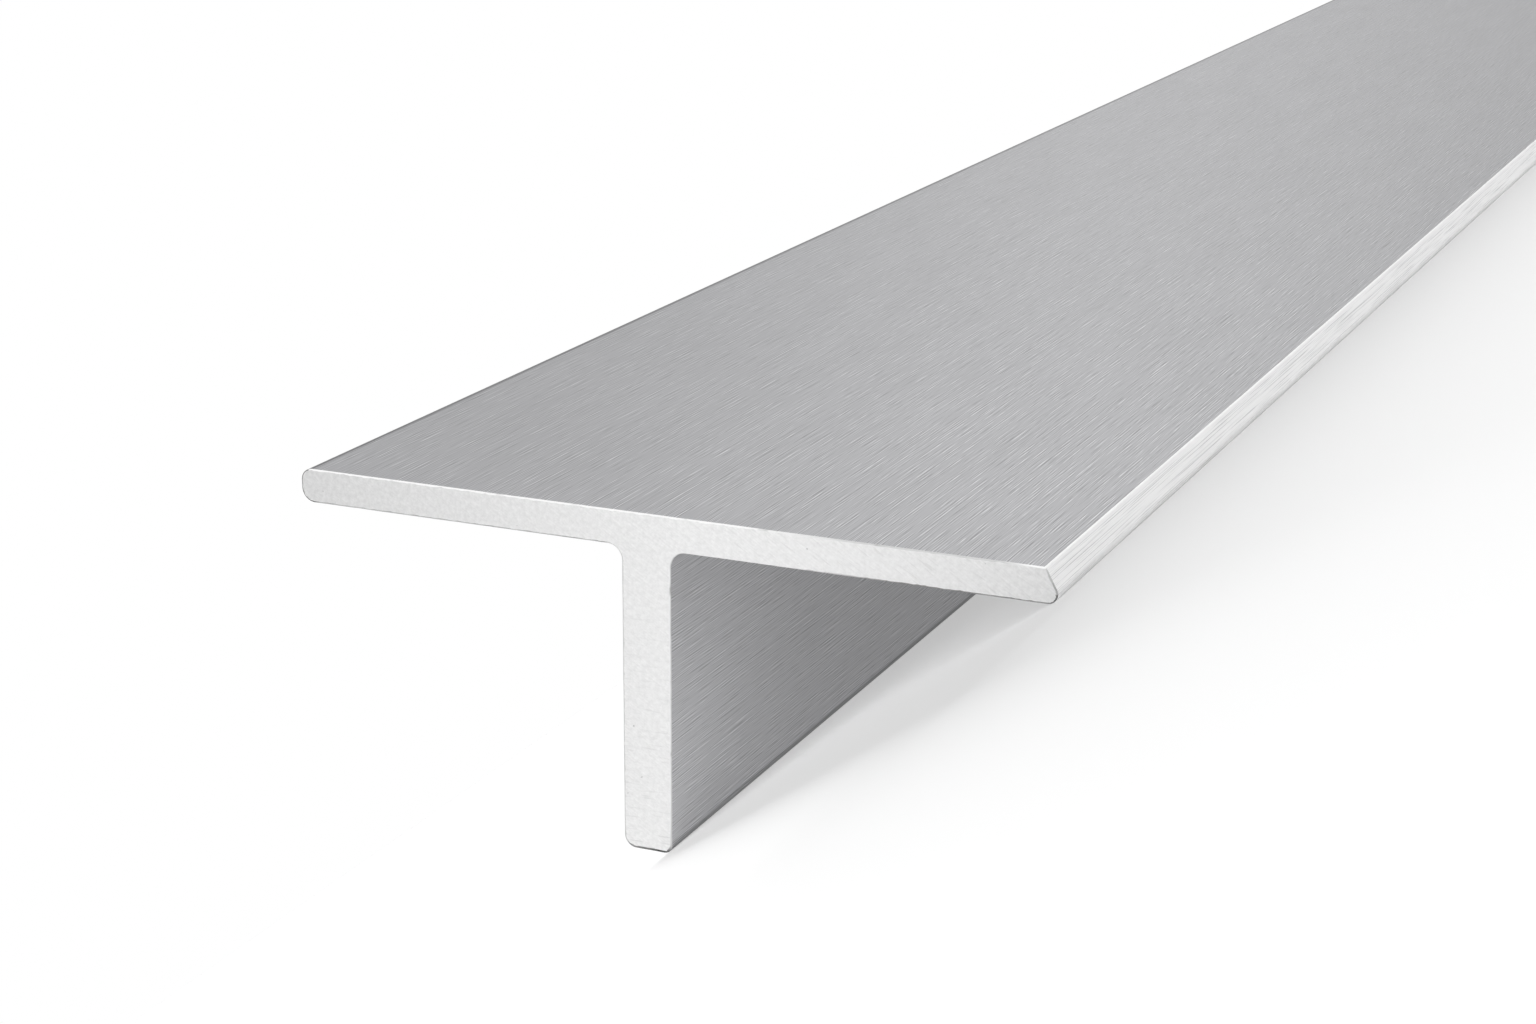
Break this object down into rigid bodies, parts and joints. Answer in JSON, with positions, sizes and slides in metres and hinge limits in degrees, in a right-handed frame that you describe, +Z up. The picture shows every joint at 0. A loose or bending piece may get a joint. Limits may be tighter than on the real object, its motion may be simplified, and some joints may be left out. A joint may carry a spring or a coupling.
{
  "type": "aluminium t-profile",
  "caption": "Length of bare extruded aluminium T-section: a thin flat flange on a standing web, filleted at the root, with one bevelled tip and square-sawn ends.",
  "frame": {"origin": "on the floor under the middle of the bar, halfway between its sawn ends and halfway across the width that it takes up as it lies", "axes": "+Y along the bar, away from the end that the picture shows; +Z up; the bar leans 38.95 degrees towards +X, to rest on the foot of its web and its bevelled tip"},
  "size_m": [0.0362, 1, 0.03],
  "materials": {
    "mill_aluminium": "bare mill finish, brushed along the length"
  },
  "bodies": {
    "root": {"t_bar": "mill_aluminium"}
  },
  "joints": []
}
